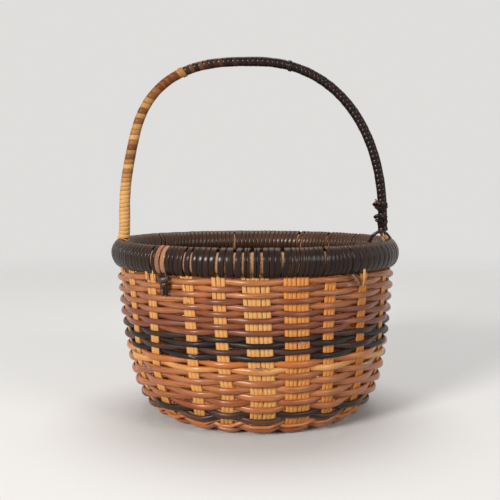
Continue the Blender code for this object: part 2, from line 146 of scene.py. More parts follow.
# Where the turns are narrower or wider: the angle, how far that reaches, and the width
OTHER_WIDTHS = ((28.0, 22.0, 1.7 * MM), (62.0, 24.0, 3.7 * MM))
LASHING_START = -170.0
LASHING_WANDER = 0.26 * MM
RIM_SHOULDER = 1.4
PASSING_FROM = 0.4
# How far the lashing goes over to its second colour: a little wear all round, and on the tops of the turns
# partly wear and partly a painted sheen where the light falls
WORN_SHARE = 0.015
WORN_SPACING = 5.0
TOP_WEAR_AND_SHEEN_SHARE = 0.11
# The light turns: the angles that they lie between, their shade, and how far it changes
LIGHT_FROM = -38.6
LIGHT_TO = -33.9
LIGHT_SHADE = 0.8
LIGHT_CHANGE = 0.2
# Marks on the lashing: the angle, and in mm the bare hoop at the top and below, and the lean there
LASHING_MARKS = (
    (-127.5, 1.0, 1.0, 0.0),
    (-60.0, 0.0, 0.0, 0.5),
    (-40.9, 1.0, 0.5, 0.7),
    (-38.7, 0.1, 0.1, 0.8),
    (-36.35, 0.2, 0.2, 0.9),
    (-34.0, 0.1, 0.1, 1.0),
    (-26.4, 0.6, 0.8, 1.0),
    (-23.4, 0.5, 1.1, 0.6),
    (-14.1, 0.8, 1.2, 0.8),
    (-11.0, 0.1, 0.7, 0.5),
    (-7.8, 0.9, 0.2, 0.4),
    (-4.8, 0.7, 0.8, 0.3),
    (-1.6, 1.4, 1.2, 0.1),
    (1.8, 0.8, 1.2, 0.0),
    (8.6, 1.2, 0.1, 0.6),
    (11.2, 0.1, 0.6, 1.2),
    (14.3, 0.1, 0.7, 1.2),
    (24.1, 1.0, 0.1, 0.8),
    (36.2, 0.6, 0.5, -0.3),
    (88.0, 0.0, 0.0, 0.0),
    (122.5, 1.0, 0.8, 0.0),
    (139.7, 1.1, 0.9, 0.0),
    (156.0, 1.2, 1.0, 0.0),
)

# Loose ends, with lengths in mm: places (an angle, a depth and a distance out), widths and shade
TAIL_LAYERS = (
    (((-34.9, 4.0, 2.4), (-35.0, 7.4, 2.7), (-35.2, 11.4, 2.1)), (3.4, 3.2, 2.5), 0.0),
    (((-37.8, 5.4, 2.2), (-35.6, 6.3, 3.5), (-32.9, 5.5, 2.4)), (1.3, 2.0, 1.2), 0.18),
    (((-36.9, 7.0, 2.2), (-35.2, 8.0, 3.2), (-33.5, 7.3, 2.4)), (1.0, 1.6, 1.2), 0.12),
    (((-36.4, 9.2, 2.2), (-35.8, 10.4, 2.8), (-36.0, 11.9, 2.1)), (1.5, 1.3, 0.7), 0.25),
)
STRAW_ENDS = (
    (((-28.6, 5.0, 0.4), (-27.6, 9.0, 0.5), (-26.4, 14.5, 0.2)), (1.0, 0.9), 0.2),
    (((-44.8, 3.4, 1.6), (-45.0, 7.0, 1.5)), (1.2, 0.9), 0.0),
    (((-41.0, 3.4, 1.7), (-41.2, 7.2, 1.4)), (0.6, 0.5), 0.0),
    (((42.9, 3.0, 2.6), (42.7, 5.6, 2.9), (42.9, 9.0, 2.2)), (1.1, 1.2, 0.7), 0.0),
)
BROWN_ENDS = (
    (((36.8, 4.6, 2.7), (38.8, 6.4, 3.0), (41.2, 8.4, 2.3)), (0.8, 1.2, 0.6), 0.85),
    (((38.6, 4.8, 2.5), (40.2, 6.4, 2.9), (41.4, 8.0, 2.4)), (0.6, 0.9, 0.4), 1.0),
)
TAIL_THICKNESS = 0.5
SCRAP_THICKNESS = 0.35
FIBRE_THICKNESS = 0.14
FIBRE_TAPER = (0.3, 0.22, 0.05)
# Fibres of the lashing's end: the least and most angle, depth, reach, swing, distance out and tone
TAIL_SPANS = ((-37.8, -32.6), (5.2, 7.2), (0.6, 1.5), (0.4, 1.6), (2.4, 3.1), (-1.0, 1.0))
TAIL_ANGLE = -35.2
TAIL_FIBRES = 14
TAIL_SHADE = 0.4
# Frayed reed: the angle, the depth, how far round and down it spreads, its fibres and their shade
REED_FRAYS = (
    (-52.5, 39.0, 7.0, 1.8, 16, 0.0),
    (48.0, 38.0, 4.5, 1.2, 9, 0.15),
    (-25.4, 31.8, 3.0, 1.4, 6, 0.5),
    (-0.4, 35.4, 6.0, 1.2, 6, 0.6),
    (35.5, 8.2, 5.0, 0.6, 5, 0.8),
    (15.0, 26.8, 3.0, 0.8, 4, 0.6),
)
# Its fibres: the least and most share round, share down, distance out, reach, fall, bow, end, tone
FRAY_SPANS = (
    (-0.5, 0.5), (-0.5, 0.5), (2.0, 2.4), (1.2, 3.4), (-0.7, 0.7), (0.1, 0.6), (0.0, 1.6), (-1.0, 1.0),
)
FRAY_SINK = 0.3
FIBRE_SIDES = 5
SCRAP_STATIONS = 12

# Bow handle
BOW_HEIGHT = 63.1 * MM
BOW_INSET = 1.8 * MM
BOW_HALF_SPAN = RIM_RADIUS - BOW_INSET
BOW_SHIFT = -0.6 * MM
BOW_START = 6.0 * MM
FOOT_DROP = 2.3
BOW_LEFT_POWER = 2.85
BOW_RIGHT_POWER = 2.22
# Where the left leg is drawn in: the height, the length above and below it, and how far
DRAWN_HEIGHT = 103.0 * MM
DRAWN_LENGTH = 14.0 * MM
DRAWN_IN = 1.1 * MM
ROD_SIZE = 1.2 * MM
ROD_SHADE = 0.1
TONGUE_WIDTH = 2.0 * MM
TONGUE_BLEND = 3.5 * MM
ROUND_FROM = 5.8 * MM
ROUND_BLEND = 2.2 * MM
WINDING_THICKNESS = 0.45 * MM
JOINT_SHARE = 0.358
LIGHT_FIRST_WIDTH = 1.5 * MM
LIGHT_LAST_WIDTH = 2.5 * MM
LIGHT_USUAL_WIDTH = 2.08 * MM
DARK_TURN_WIDTH = 1.9 * MM
FOOT_GROWTH = 0.45 * MM
JOINT_WIDTH = 1.8 * MM
JOINT_LENGTH = 1.62 * MM
JOINT_GROWTH = 0.35 * MM
WIDTH_VARIETY = 0.06
WOUND_FULLNESS = 0.97
WOUND_SWELL = 0.05
WOUND_VARIETY = 0.7
BARE_FOOT = 1.2 * MM
# Shades of a winding: the first, the last, and the shares of it after and over which they change
LIGHT_SHADES = (0.0, 1.1, 0.25, 0.4)
JOINT_SHADES = (0.5, 0.5, 0.0, 1.0)
DARK_SHADES = (0.9, 0.0, 0.0, 0.25)
TIE_SHADES = (0.1, 0.1, 0.0, 1.0)
# Where an extra turn ties the dark winding: the share of it, the turn's width and its thickness
BOW_TIES = (
    (0.345, 1.3 * MM, 0.3 * MM),
    (0.915, 1.6 * MM, 0.35 * MM),
    (0.965, 1.4 * MM, 0.3 * MM),
    (0.99, 1.2 * MM, 0.25 * MM),
)
TIE_END_THICKNESS = 0.7 * MM
# Ends of the dark strip round the bow's right foot: their places and width in mm, and their shade
BOW_TIE_ENDS = (
    (
        ((45.0, -1.0, 66.0), (46.0, -2.0, 68.4), (48.4, -2.8, 70.1), (51.0, -2.8, 69.9), (53.4, -1.6, 67.4)),
        1.5,
        0.3,
    ),
    (((51.2, -1.9, 80.3), (49.2, -2.6, 81.2), (47.4, -2.5, 81.3), (46.3, -1.9, 80.4)), 2.6, 0.0),
    (((49.8, -2.2, 79.4), (48.2, -2.4, 79.5), (46.9, -2.1, 80.0)), 2.4, 0.0),
    (((51.4, -1.9, 75.2), (49.4, -2.7, 76.0), (47.7, -2.5, 76.3), (46.7, -1.9, 75.6)), 2.3, 0.0),
    (((49.8, -2.2, 74.4), (48.2, -2.4, 74.5), (47.2, -2.0, 74.9)), 2.2, 0.0),
    (((48.6, -3.1, 81.0), (47.6, -3.1, 81.8), (46.9, -2.8, 82.9)), 0.9, 1.0),
)

# How finely the strands are cut
SECTION_STEPS = 160
FOOT_STEPS = 12
REED_STATIONS = 10
REED_SIDES = 10
STRIP_STATIONS = 44
HOOP_STATIONS = 160
TURN_STATIONS = 20
BOW_STATIONS = 150

STAVE_WIDTH = STRIP_WIDTH * STRIPS_PER_BUNDLE
LANE_PITCH = STAVE_WIDTH + PIECE_GAP
STAVES = len(FRONT_ANGLES) + BACK_STAVES
FRONT_LANES = (STAVES + DOUBLE_STAVES - 2 * SIDE_LANES + 1) // 2
PAD_HALF_WIDTH = FRONT_LANES * LANE_PITCH / 2
PAD_HALF_DEPTH = SIDE_LANES * LANE_PITCH / 2
PAD_RADIUS = math.hypot(PAD_HALF_WIDTH, PAD_HALF_DEPTH) + PIECE_GAP
RIM_HALF_HEIGHT = HOOP_HEIGHT / 2 + PIECE_GAP + LASHING_THICKNESS
RIM_CREST = RIM_HEIGHT + RIM_HALF_HEIGHT

# Weavers as they are woven: rounds, reed size and rise a round in mm, finish, slot and shades
WEAVERS = (
    ("base_weaver", 3, 2.1, 2.3, "orange_reed", "reed_orange_brown", (0.4, 0.4, 0.0)),
    ("foot_weaver", 1, 1.9, 2.6, "foot_reed", "reed_honey", (0.25, 0.25, 0.0)),
    ("lower_dark_weaver", 2, 2.5, 2.7, "dark_brown_reed", "reed_dark_brown", (0.2, 0.2, 0.7)),
    ("lower_orange_weaver", 6, 2.6, 2.45, "orange_reed", "reed_orange_brown", (0.25, 0.25, 0.0)),
    ("honey_weaver", 2, 2.6, 2.15, "honey_reed", "reed_honey", (0.05, 0.05, 0.7)),
    ("upper_dark_weaver", 4, 1.9, 2.2, "near_black_reed", "reed_near_black", (1.0, 1.0, -0.8)),
    ("upper_brown_weaver", 9, 1.98, 2.17, "red_brown_reed", "reed_red_brown", (1.0, 0.1, 0.0)),
)
BASE_HEIGHT = STRIP_THICKNESS / 2 + PIECE_GAP + BASE_REED - FLAT_CUT_SHARE * BASE_REED

# Colours
STRAW = (0.70, 0.37, 0.125)
DEEP_STRAW = (0.70, 0.26, 0.055)
FIBRE_BROWN = (0.30, 0.10, 0.022)
RED_BROWN = (0.19, 0.046, 0.015)
LIGHT_RED_BROWN = (0.44, 0.15, 0.045)
ORANGE_BROWN = (0.46, 0.13, 0.025)
DEEP_ORANGE = (0.27, 0.06, 0.014)
PALE_HONEY = (0.66, 0.31, 0.095)
FOOT_ORANGE = (0.46, 0.165, 0.05)
HANDLE_STRAW = (0.60, 0.33, 0.12)
DARK_BROWN = (0.075, 0.026, 0.014)
NEAR_BLACK = (0.007, 0.004, 0.003)
TAN = (0.50, 0.29, 0.15)
DEEP_TAN = (0.34, 0.15, 0.065)
WOUND_BROWN = (0.14, 0.045, 0.015)
WORN_BROWN = (0.12, 0.045, 0.022)
LEATHER_BROWN = (0.38, 0.18, 0.09)
UMBER = (0.024, 0.008, 0.005)
ASH = (0.50, 0.43, 0.38)

# Grain. A noise is the length and width of its spots in mm, its detail, its span and what that gives
REED_GRAIN = {
    "varnish": 0.3,
    "shine": 0.15,
    "tone": 0.45,
    "patches": (9.0, 2.5, 2.0, 0.3, 0.7, -0.42, 0.42),
    "streaks": (6.0, 0.3, 3.0, 0.48, 0.74, 0.0, 0.75),
    "roughness": (3.0, 1.0, 2.0, 0.3, 0.7, 0.36, 0.55),
    "grooves": (4.0, 0.2, 3.0),
    "groove_depth": 0.12 * MM,
}
STRIP_GRAIN = {
    "varnish": 0.35,
    "shine": 0.3,
    "tone": 0.25,
    "patches": (14.0, 1.2, 2.0, 0.3, 0.7, -0.2, 0.2),
    "streaks": (60.0, 0.26, 1.0, 0.55, 0.75, 0.0, 0.65),
    "roughness": (60.0, 0.26, 1.0, 0.3, 0.7, 0.42, 0.62),
    "grooves": (16.0, 0.15, 3.0),
    "groove_depth": 0.14 * MM,
}
WOUND_GRAIN = {
    "varnish": 0.21,
    "shine": 0.05,
    "tone": 1.6,
    "edge": 0.7,
    "patches": (7.0, 1.0, 3.0, 0.45, 0.75, 0.0, 0.8),
    # Where the edges take the edge colour: partly wear, partly painted shade in the seams between turns
    "edge_wear_and_seam_shade": (2.0, 1.0, 2.0, 0.3, 0.6, 0.0, 1.0),
    "roughness": (2.0, 0.8, 2.0, 0.3, 0.7, 0.28, 0.5),
    "grooves": (5.0, 0.16, 3.0),
    "groove_depth": 0.1 * MM,
}
# Finishes: the grain, the weight of the varnish, and the first, second and streak colour
GRAINED_FINISHES = {
    "straw_strip": (STRIP_GRAIN, 0.12, STRAW, DEEP_STRAW, FIBRE_BROWN),
    "tan_hoop": (STRIP_GRAIN, 0.12, TAN, DEEP_TAN, FIBRE_BROWN),
    "orange_reed": (REED_GRAIN, 0.65, LIGHT_RED_BROWN, DEEP_ORANGE, DARK_BROWN),
    "honey_reed": (REED_GRAIN, 0.65, PALE_HONEY, ORANGE_BROWN, FIBRE_BROWN),
    "red_brown_reed": (REED_GRAIN, 0.65, LIGHT_RED_BROWN, RED_BROWN, DARK_BROWN),
    "near_black_reed": (REED_GRAIN, 0.25, DARK_BROWN, NEAR_BLACK, NEAR_BLACK),
    "dark_brown_reed": (REED_GRAIN, 0.4, WORN_BROWN, UMBER, NEAR_BLACK),
    "foot_reed": (REED_GRAIN, 0.65, FOOT_ORANGE, ORANGE_BROWN, FIBRE_BROWN),
    "frayed_reed": (REED_GRAIN, 0.1, ASH, RED_BROWN, DARK_BROWN),
}
# Wound strips: the weight of the varnish, the width, and the first, varied, second and edge colour. The edge
# colour stands partly for wear and partly for painted shade in the seams between turns
TURN_FINISHES = {
    "lashing_strip": (0.33, TURN_WIDTH, NEAR_BLACK, UMBER, LEATHER_BROWN, UMBER),
    "light_bow_strip": (0.1, LIGHT_USUAL_WIDTH, HANDLE_STRAW, STRAW, WOUND_BROWN, FIBRE_BROWN),
    "dark_bow_strip": (0.28, DARK_TURN_WIDTH, NEAR_BLACK, UMBER, WORN_BROWN, UMBER),
}

# Camera, floor and light
CAMERA_PLACE = (-0.002, -0.308, 0.087)
CAMERA_PITCH = 4.5
LENS = 56.2
FLOOR_RADIUS = 0.8
FLOOR_SIDES = 96
FLOOR_ROUGHNESS = 0.9
FLOOR_FADE = 0.14
FLOOR_COLOUR = (0.745, 0.735, 0.72)
BACKDROP_COLOUR = (0.74, 0.73, 0.715)
BOUNCE_COLOUR = (0.36, 0.35, 0.34)
WORLD_COLOUR = (1.0, 1.0, 1.0, 1.0)
WORLD_STRENGTH = 0.18
LAMPS = (
    ("key_lamp", (-0.66, -0.86, 0.4), 0.32, 13.0, (1.0, 0.98, 0.95)),
    ("fill_lamp", (0.8, -0.75, 0.42), 0.5, 4.5, (1.0, 0.99, 0.97)),
    ("top_lamp", (0.0, 0.3, 1.15), 0.9, 8.0, (1.0, 1.0, 1.0)),
)


def unit(vectors):
    return vectors / np.linalg.norm(vectors, axis=-1, keepdims=True)


def smooth(share):
    share = np.clip(share, 0.0, 1.0)
    return share * share * (3 - 2 * share)


def table_of(points):
    """A line in a plane as a table of its lengths, places and directions."""
    spans = np.linalg.norm(np.diff(points, axis=0), axis=1)
    lengths = np.concatenate([[0.0], np.cumsum(spans)])
    return lengths, points, unit(np.gradient(points, lengths, axis=0))


def read(table, length):
    """The two coordinates of the place, and then of the direction, at these lengths."""
    lengths, points, directions = table
    return [
        np.interp(length, lengths, column)
        for column in (points[:, 0], points[:, 1], directions[:, 0], directions[:, 1])
    ]


def bezier(corners, share):
    share = share[:, None]
    left = 1 - share
    weights = np.hstack([left**3, 3 * left**2 * share, 3 * left * share**2, share**3])
    return weights @ corners


def wall_table():
    """Radius and height of the wall's middle surface, from the middle of the base past its top."""
    radius = BASE_RADIUS * np.arange(SECTION_STEPS) / SECTION_STEPS
    fall = smooth((radius - PAD_RADIUS) / (BASE_RADIUS - PAD_RADIUS))
    base = np.column_stack([radius, BASE_HEIGHT + BASE_RISE * (1 - fall)])
    corners = np.array(
        (
            (BASE_RADIUS, BASE_HEIGHT),
            (BASE_RADIUS + CORNER_REACH, BASE_HEIGHT),
            (RIM_RADIUS - WALL_FLARE, BASE_HEIGHT + CORNER_RISE),
            (RIM_RADIUS, RIM_HEIGHT),
        )
    )
    side = bezier(corners, np.linspace(0.0, 1.0, SECTION_STEPS + 1))
    beyond = side[-1] + unit(side[-1] - side[-2]) * HOOP_HEIGHT
    return table_of(np.vstack([base, side, beyond]))


WALL = wall_table()
EDGE_LENGTH = WALL[0][SECTION_STEPS]
RIM_LENGTH = WALL[0][-2]
LAST_ROW = RIM_LENGTH - RIM_HALF_HEIGHT - PIECE_GAP - TOP_REED / 2


def wall_frame(angle, length, out_offset=0.0, along_offset=0.0):
    """Places near the wall's middle surface, and the outward direction there."""
    radius, height, run, rise = read(WALL, length)
    sine = np.sin(angle)
    cosine = np.cos(angle)
    lean = BASE_LEAN * (1 - smooth(height / RIM_HEIGHT))
    reach = radius + rise * out_offset + run * along_offset
    level = height - run * out_offset + rise * along_offset
    points = np.column_stack([reach * sine + lean, -reach * cosine, level])
    return points, np.column_stack([rise * sine, -rise * cosine, -run])


def rim_angles():
    """The angle at which each stave meets the rim."""
    back = np.linspace(BACK_FIRST_ANGLE, BACK_LAST_ANGLE, BACK_STAVES)
    return np.radians(np.concatenate([FRONT_ANGLES, back]))


def sides_of(stave):
    """0 for a single bundle, or -1 and 1 for the two of a double stave."""
    return (-1, 1) if FIRST_DOUBLE <= stave < FIRST_DOUBLE + DOUBLE_STAVES else (0,)


HALF_WIDTHS = np.array([(len(sides_of(s)) * LANE_PITCH - PIECE_GAP) / 2 for s in range(STAVES)])


def edge_angles(at_rim):
    """The angle of each stave at the edge of the base, where the gaps between them are equal."""
    gap = (2 * math.pi * BASE_RADIUS - 2 * HALF_WIDTHS.sum()) / STAVES
    starts = np.concatenate([[0.0], np.cumsum(2 * HALF_WIDTHS + gap)[:-1]])
    places = (starts + HALF_WIDTHS) / BASE_RADIUS
    return places + (at_rim - places).mean()


RIM_ANGLES = rim_angles()
EDGE_ANGLES = edge_angles(RIM_ANGLES)


def bundle_angle(stave, side, length):
    """The angle of a bundle on the wall, on this side of its stave."""
    share = (length - EDGE_LENGTH) / (RIM_LENGTH - EDGE_LENGTH)
    drift = smooth(share / DRIFT_SHARE)
    angle = EDGE_ANGLES[stave] + drift * (RIM_ANGLES[stave] - EDGE_ANGLES[stave])
    if stave < len(FRONT_LEANS):
        angle = angle + np.radians(np.interp(share, LEAN_SHARES, (*FRONT_LEANS[stave], 0.0)))
    return angle + side * LANE_PITCH / 2 / read(WALL, length)[0]


def edge_place(stave, side):
    """Where a bundle crosses the edge of the base."""
    angle = bundle_angle(stave, side, EDGE_LENGTH)
    return np.array((BASE_RADIUS * math.sin(angle), -BASE_RADIUS * math.cos(angle)))


def lane_start(kind, lane, facing):
    """Where a lane bends to leave the pad. The outer lanes bend first, so that they fan out clear."""
    lanes = FRONT_LANES if kind == "front" else SIDE_LANES
    reach = PAD_HALF_DEPTH if kind == "front" else PAD_HALF_WIDTH
    place = (lane - (lanes - 1) / 2) * LANE_PITCH
    outer = 2 * abs(place) / (lanes * LANE_PITCH)
    edge = facing * (reach - FAN_RETREAT * outer)
    return np.array((place, edge) if kind == "front" else (edge, place))


def lane_ends():
    """The lane of each bundle end: its kind, its number, the side of the pad that it leaves by,
    and where it bends. An end is its stave and its side of a double pair."""
    ends = [(stave, side) for stave in range(STAVES) for side in sides_of(stave)]
    left = SIDE_LANES // 2
    turned = ends[-left:] + ends[:-left]
    quarters = (
        [("side", lane, -1) for lane in reversed(range(SIDE_LANES))]
        + [("front", lane, -1) for lane in range(1, FRONT_LANES)]
        + [("side", lane, 1) for lane in range(SIDE_LANES)]
        + [("front", lane, 1) for lane in reversed(range(FRONT_LANES))]
    )
    return {end: (*quarter, lane_start(*quarter)) for end, quarter in zip(turned, quarters)}


LANES = lane_ends()


def stave_angle(stave, length):
    """The angle of a stave's middle, on the wall or on the base outside the pad."""
    if length >= EDGE_LENGTH:
        return bundle_angle(stave, 0, length)
    radius = read(WALL, length)[0]
    middle = np.zeros(2)
    for side in sides_of(stave):
        start = LANES[stave, side][3]
        run = edge_place(stave, side) - start
        reach = start @ run
        root = math.sqrt(reach**2 - (run @ run) * (start @ start - radius**2))
        middle += start + run * (root - reach) / (run @ run)
    return math.atan2(middle[0], -middle[1])


def crossing_counts():
    """How often each weaver passes a stave: an even number, so that every one ends inside."""
    return [2 * round(rounds * STAVES / 2) for _, rounds, *_ in WEAVERS]


def crossing_tables():
    """Of each passing of a stave, from the base's inner rounds to two past the last one: its
    number, the length up the wall, the angle, which grows with every round, and half the width of
    the stave there. The first passing that the frame has is number 0."""
    counts = crossing_counts()
    rises = np.repeat([rise * MM / STAVES for _, _, _, rise, *_ in WEAVERS], counts)
    inner = np.full(INNER_ROUNDS * STAVES + 1, rises[0])
    rises = np.concatenate([inner, rises, rises[-1:]])
    numbers = np.arange(-len(inner), len(rises) - len(inner) + 1)
    lengths = LAST_ROW + rises[-1] - np.concatenate([np.cumsum(rises[::-1])[::-1], [0.0]])
    angles = []
    halves = []
    for number, length in zip(numbers + FIRST_STAVE, lengths):
        stave = number % STAVES
        angle = stave_angle(stave, length)
        turns = round((RIM_ANGLES[stave] - angle) / (2 * math.pi)) + number // STAVES
        angles.append(angle + 2 * math.pi * turns)
        halves.append(HALF_WIDTHS[stave] / read(WALL, length)[0])
    return numbers, lengths, np.array(angles), np.array(halves)


CROSSINGS, CROSSING_LENGTHS, CROSSING_ANGLES, CROSSING_HALVES = crossing_tables()


def circle(sides):
    turns = 2 * np.pi * np.arange(sides) / sides
    return np.column_stack([np.cos(turns), np.sin(turns)])


def dome(sides):
    """A half-round section: flat below, with its crown up."""
    turns = np.pi * np.arange(sides) / (sides - 1)
    return np.column_stack([np.cos(turns), 2 * np.sin(turns) - 1])


def mirrored(side, crown):
    """A closed section: the corners of its right side, upward, and the height of its middle."""
    right = np.array(side)
    return np.vstack([right, (0.0, crown), right[::-1] * (-1, 1)])


STRIP_SHARES = mirrored(((0.95, -1), (1, -0.6), (1, 0.6), (0.95, 1)), 1.05)
WOUND_SHARES = mirrored(((0.8, -1), (1, -0.6), (1, 0.5), (0.84, 1)), 1.1)
TURN_SHARES = mirrored(((0.8, -1), (1, -0.5), (0.97, 0.2), (0.84, 0.75), (0.55, 0.95)), 1.0)


def curve(corners, steps):
    """A smooth line through these corners."""
    corners = np.asarray(corners, dtype=float)
    first = 2 * corners[:1] - corners[1:2]
    last = 2 * corners[-1:] - corners[-2:-1]
    padded = np.vstack([first, corners, last])
    share = np.linspace(0.0, len(corners) - 1, steps)
    here = np.minimum(share.astype(int), len(corners) - 2)
    share = (share - here)[:, None]
    before, left, right, after = (padded[here + step] for step in range(4))
    bend = 2 * before - 5 * left + 4 * right - after
    turn = 3 * (left - right) + after - before
    return left + share / 2 * (right - before + share * (bend + share * turn))


def wander(places, random, spacing=1.0):
    """A smooth random value between -1 and 1 along a strand, with a knot at each spacing."""
    knots = np.asarray(places) / spacing
    first = math.floor(knots.min())
    values = random.uniform(-1, 1, int(math.ceil(knots.max())) - first + 2)
    index = np.floor(knots).astype(int) - first
    share = smooth(knots - np.floor(knots))
    return values[index] + (values[index + 1] - values[index]) * share


def placed(name, data):
    """A new object in the scene."""
    thing = bpy.data.objects.new(name, data)
    bpy.context.scene.collection.objects.link(thing)
    return thing


class Skin:
    """One mesh made of strands. Its points carry where they lie on the straightened strand, and two
    shades: tone, from -1 to 1, and blend, from 0 to 1."""

    def __init__(self):
        self.points = []
        self.faces = []
        self.straight = []
        self.tone = []
        self.blend = []
        self.count = 0

    def strand(self, points, outs, wide, thick, section, tone=0.0, blend=0.0, closed=False):
        """Sweeps the section along the points, so wide and so thick to each side."""
        rings = len(points)
        sides = len(section)
        before = np.roll(points, 1, axis=0)
        after = np.roll(points, -1, axis=0)
        if not closed:
            before[0] = points[0]
            after[-1] = points[-1]
        tangents = unit(after - before)
        across = unit(np.cross(tangents, outs))
        up = np.cross(across, tangents)
        wide = np.broadcast_to(wide, rings)[:, None] * section[:, 0]
        thick = np.broadcast_to(thick, rings)[:, None] * section[:, 1]
        skin = points[:, None] + across[:, None] * wide[..., None] + up[:, None] * thick[..., None]
        spans = np.linalg.norm(np.diff(points, axis=0), axis=1)
        along = np.concatenate([[0.0], np.cumsum(spans)]) + self.count * MM
        along = np.broadcast_to(along[:, None], wide.shape)
        self.points.append(skin.reshape(-1, 3))
        self.straight.append(np.stack([along, wide, thick], axis=-1).reshape(-1, 3))
        self.tone.append(np.repeat(np.broadcast_to(tone, rings), sides))
        self.blend.append(np.repeat(np.broadcast_to(blend, rings), sides))
        ring = np.arange(rings if closed else rings - 1)[:, None] * sides
        following = (ring + sides) % (rings * sides)
        here = np.arange(sides)[None]
        there = (here + 1) % sides
        quads = np.stack([ring + here, following + here, following + there, ring + there], axis=-1)
        self.faces += (quads.reshape(-1, 4) + self.count).tolist()
        if not closed:
            self.faces.append((self.count + np.arange(sides)).tolist())
            self.faces.append((self.count + rings * sides - 1 - np.arange(sides)).tolist())
        self.count += rings * sides

    def piece(self, name, material, slot, *nodes):
        """Makes the piece, in the place of these CAD nodes."""
        mesh = bpy.data.meshes.new(name)
        mesh.from_pydata(np.concatenate(self.points).tolist(), [], self.faces)
        straight = mesh.attributes.new("straight", "FLOAT_VECTOR", "POINT")
        straight.data.foreach_set("vector", np.concatenate(self.straight).ravel())
        for title, values in (("tone", self.tone), ("blend", self.blend)):
            shade = mesh.attributes.new(title, "FLOAT", "POINT")
            shade.data.foreach_set("value", np.concatenate(values))
        mesh.shade_smooth()
        mesh.materials.append(material)
        obj = placed(name, mesh)
        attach(obj, "root")
        if nodes:
            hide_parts(*nodes)


def generator(*numbers):
    """Random numbers that are the same on each run."""
    return np.random.default_rng([SEED, *numbers])


class Graph:
    """The nodes of a material or of the world."""

    def __init__(self, owner):
        owner.use_nodes = True
        self.nodes = owner.node_tree.nodes
        self.links = owner.node_tree.links

    def add(self, kind, inputs, output=0, **settings):
        """The output of a new node, whose inputs are linked to outputs or set to values."""
        node = self.nodes.new(f"ShaderNode{kind}")
        for name, value in settings.items():
            setattr(node, name, value)
        for name, value in inputs.items():
            socket = node.inputs[name]
            if isinstance(value, bpy.types.NodeSocket):
                self.links.new(value, socket)
            else:
                socket.default_value = (*value, 1.0) if socket.type == "RGBA" else value
        return node.outputs[output]

    def math(self, operation, first, second):
        return self.add("Math", {0: first, 1: second}, operation=operation)

    def mix(self, factor, first, second):
        """A colour between two others. A Mix node's colours are its inputs 6 and 7."""
        return self.add("Mix", {0: factor, 6: first, 7: second}, 2, data_type="RGBA")

    def seen_ray(self):
        """1 where the ray comes from the camera, or from a mirror or glass that shows what it sees."""
        rays = self.nodes.new("ShaderNodeLightPath").outputs
        seen = self.math("MAXIMUM", rays["Is Camera Ray"], rays["Is Glossy Ray"])
        return self.math("MAXIMUM", seen, rays["Is Transmission Ray"])


class Finish(Graph):
    """A Principled material whose colour, roughness and relief come from procedural nodes."""

    def __init__(self, name, grain, coat_weight):
        self.material = bpy.data.materials.new(name)
        super().__init__(self.material)
        self.grain = grain
        self.shader = self.nodes["Principled BSDF"].inputs
        self.shader["Coat Weight"].default_value = coat_weight
        self.shader["Coat Roughness"].default_value = grain["varnish"]
        self.shader["Specular IOR Level"].default_value = grain["shine"]

    def attribute(self, name, output="Fac"):
        return self.add("Attribute", {}, output, attribute_name=name)

    def range(self, value, low, high, new_low=0.0, new_high=1.0):
        inputs = {"Value": value, "From Min": low, "From Max": high, "To Min": new_low, "To Max": new_high}
        return self.add("MapRange", inputs, "Result")

    def noise(self, length, width, detail):
        """Noise along the strand, whose spots are so many millimetres long and wide."""
        across = 1 / (width * MM)
        inputs = {0: self.attribute("straight", "Vector"), 1: (1 / (length * MM), across, across)}
        stretched = self.add("VectorMath", inputs, operation="MULTIPLY")
        return self.add("TexNoise", {"Vector": stretched, "Scale": 1.0, "Detail": detail}, "Fac")

    def laid(self, part):
        """What this noise of the grain becomes."""
        length, width, detail, *span = self.grain[part]
        return self.range(self.noise(length, width, detail), *span)

    def finish(self, colour):
        """The material in this colour, with the grain's roughness and grooves."""
        grooves = {"Height": self.noise(*self.grain["grooves"]), "Distance": self.grain["groove_depth"]}
        relief = self.add("Bump", grooves, "Normal")
        self.links.new(colour, self.shader["Base Color"])
        self.links.new(self.laid("roughness"), self.shader["Roughness"])
        self.links.new(relief, self.shader["Normal"])
        return self.material


def grained_finish(name, grain, coat_weight, first, second, streak):
    """Reed or split strip under thin varnish: two shades that change along it, with long darker
    streaks and fine grooves."""
    look = Finish(name, grain, coat_weight)
    shade = look.math("ADD", look.attribute("blend"), look.laid("patches"))
    tone = look.math("MULTIPLY", look.attribute("tone"), grain["tone"])
    shade = look.range(look.math("ADD", shade, tone), 0.0, 1.0)
    colour = look.mix(shade, first, second)
    return look.finish(look.mix(look.laid("streaks"), colour, streak))


def turn_finish(name, coat_weight, width, first, varied, second, edge):
    """A wound flat strip under varnish: its first shade varies from turn to turn, goes over to the
    second one with the blend, and goes over to the edge colour along its edges: partly wear, and where
    that colour is darker than the strip, painted shade in the seams between turns."""
    look = Finish(name, WOUND_GRAIN, coat_weight)
    tone = look.range(look.attribute("tone"), 0.0, WOUND_GRAIN["tone"])
    tone = look.range(look.math("ADD", tone, look.laid("patches")), 0.0, 1.0)
    colour = look.mix(look.attribute("blend"), look.mix(tone, first, varied), second)
    sideways = look.add("SeparateXYZ", {0: look.attribute("straight", "Vector")}, "Y")
    sideways = look.math("ABSOLUTE", sideways, 0.0)
    # Along the edges: partly wear, and on pale strips painted shade in the seams between turns
    wear_and_painted_light = look.range(sideways, WOUND_GRAIN["edge"] * width / 2, width / 2)
    wear_and_painted_light = look.math("MULTIPLY", wear_and_painted_light, look.laid("edge_wear_and_seam_shade"))
    return look.finish(look.mix(wear_and_painted_light, colour, edge))


